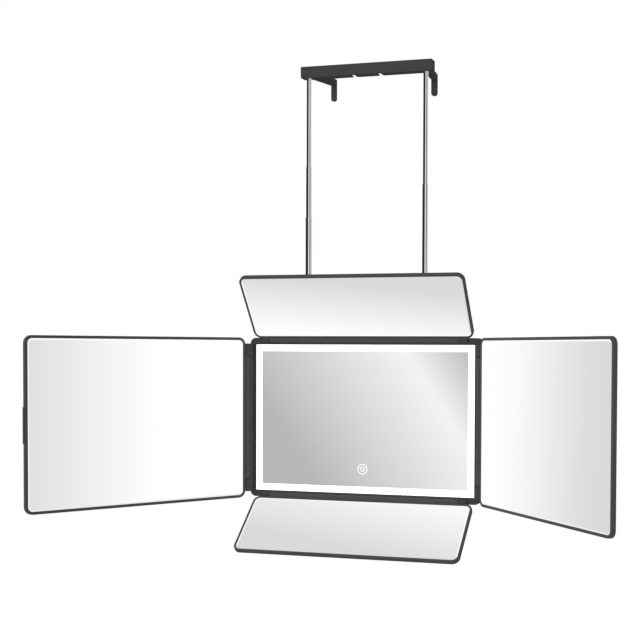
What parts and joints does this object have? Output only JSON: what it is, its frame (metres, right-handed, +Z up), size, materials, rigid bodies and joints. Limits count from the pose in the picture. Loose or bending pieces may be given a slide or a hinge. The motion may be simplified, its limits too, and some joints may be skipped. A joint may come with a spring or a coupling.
{
  "type": "folding vanity mirror",
  "caption": "Lighted centre mirror with folding mirror wings on its four sides, hung over a door from a hook bar on telescopic rods.",
  "frame": {"origin": "in the door-side face of the hook bar's middle rib: Y = 0 is the door's face and Z = 0 the door's top", "axes": "+X to the viewer's right, +Y from the mirror towards the door, +Z up"},
  "size_m": [0.6551, 0.3323, 0.6007],
  "materials": {
    "charcoal_plastic": "fine satin moulded",
    "bezel_plastic": "fine satin moulded",
    "wing_plastic": "fine satin moulded",
    "housing_plastic": "fine textured moulded",
    "inner_plastic": "plain moulded",
    "white_plastic": "matt white",
    "chrome": "polished",
    "steel": "drawn",
    "screw_steel": "black oxide",
    "mirror_glass": "silvered, ground edge",
    "opal_diffuser": "opal, lit from behind",
    "icon_print": "printed, lit",
    "led_phosphor": "phosphor",
    "circuit_board": "solder mask",
    "cell_wrap": "foil pouch",
    "foam_tape": "foam",
    "soft_pad": "soft"
  },
  "bodies": {
    "hook_bar": {"hook_bar": "charcoal_plastic", "left_inner_rod": "chrome", "right_inner_rod": "chrome", "rivet_caps": "charcoal_plastic"},
    "left_hook": {"left_hook": "charcoal_plastic"},
    "right_hook": {"right_hook": "charcoal_plastic"},
    "left_mid_rod": {"left_mid_rod": "chrome"},
    "left_outer_rod": {"left_outer_rod": "chrome"},
    "right_mid_rod": {"right_mid_rod": "chrome"},
    "right_outer_rod": {"right_outer_rod": "chrome"},
    "centre": {"back_housing": "housing_plastic", "front_frame": "bezel_plastic", "centre_glass": "mirror_glass", "light_diffuser": "opal_diffuser", "glass_carrier": "inner_plastic", "touch_sensor": "circuit_board", "touch_icon": "icon_print", "reflector_plate": "white_plastic", "led_strip": "white_plastic", "led_chips": "led_phosphor", "left_base_tube": "steel", "right_base_tube": "steel", "tube_clamps": "inner_plastic", "battery": "cell_wrap", "control_board": "circuit_board", "usb_socket": "steel", "housing_screws": "screw_steel", "door_pads": "soft_pad", "left_hinge_pins": "screw_steel", "right_hinge_pins": "screw_steel", "top_hinge_pins": "screw_steel", "bottom_hinge_pins": "screw_steel"},
    "left_wing": {"left_wing_frame": "wing_plastic", "left_wing_glass": "mirror_glass", "left_wing_tape": "foam_tape", "left_pull_tab": "charcoal_plastic"},
    "right_wing": {"right_wing_frame": "wing_plastic", "right_wing_glass": "mirror_glass", "right_wing_tape": "foam_tape"},
    "top_wing": {"top_wing_frame": "wing_plastic", "top_wing_glass": "mirror_glass", "top_wing_tape": "foam_tape"},
    "bottom_wing": {"bottom_wing_frame": "wing_plastic", "bottom_wing_glass": "mirror_glass", "bottom_wing_tape": "foam_tape"}
  },
  "joints": [
    {"name": "left_hook_swing", "type": "hinge", "parent": "hook_bar", "child": "left_hook", "pos_m": [-0.076, -0.008, 0], "axis": [0, 0, -1], "range_deg": [-12.6, 77.4]},
    {"name": "right_hook_swing", "type": "hinge", "parent": "hook_bar", "child": "right_hook", "pos_m": [0.076, -0.008, 0], "axis": [0, 0, 1], "range_deg": [-5.2, 84.8]},
    {"name": "left_mid_slide", "type": "slide", "parent": "hook_bar", "child": "left_mid_rod", "axis": [0, 0, 1], "range_m": [-0.01041, 0.104]},
    {"name": "left_outer_slide", "type": "slide", "parent": "left_mid_rod", "child": "left_outer_rod", "axis": [0, 0, 1], "range_m": [-0.00586, 0.0565]},
    {"name": "right_mid_slide", "type": "slide", "parent": "hook_bar", "child": "right_mid_rod", "axis": [0, 0, 1], "range_m": [-0.01289, 0.13]},
    {"name": "right_outer_slide", "type": "slide", "parent": "right_mid_rod", "child": "right_outer_rod", "axis": [0, 0, 1], "range_m": [-0.01304, 0.1315]},
    {"name": "mirror_lift", "type": "slide", "parent": "hook_bar", "child": "centre", "axis": [0, 0, 1], "range_m": [-0.029, 0.303]},
    {"name": "left_wing_fold", "type": "hinge", "parent": "centre", "child": "left_wing", "pos_m": [-0.149, -0.0315, -0.426], "axis": [0, 0, 1], "range_deg": [-57.25, 122.75]},
    {"name": "right_wing_fold", "type": "hinge", "parent": "centre", "child": "right_wing", "pos_m": [0.149, -0.0261, -0.426], "axis": [0, 0, -1], "range_deg": [-49.65, 130.35]},
    {"name": "top_wing_fold", "type": "hinge", "parent": "centre", "child": "top_wing", "pos_m": [0, -0.0207, -0.3285], "axis": [1, 0, 0], "range_deg": [-36.6, 143.4]},
    {"name": "bottom_wing_fold", "type": "hinge", "parent": "centre", "child": "bottom_wing", "pos_m": [0, -0.0207, -0.5235], "axis": [-1, 0, 0], "range_deg": [-50.2, 129.8]}
  ],
  "couplings": [
    {"joint": "left_mid_slide", "follows": "mirror_lift", "ratio": 0.34158},
    {"joint": "left_outer_slide", "follows": "mirror_lift", "ratio": 0.18482},
    {"joint": "right_mid_slide", "follows": "mirror_lift", "ratio": 0.42739},
    {"joint": "right_outer_slide", "follows": "mirror_lift", "ratio": 0.43234}
  ]
}
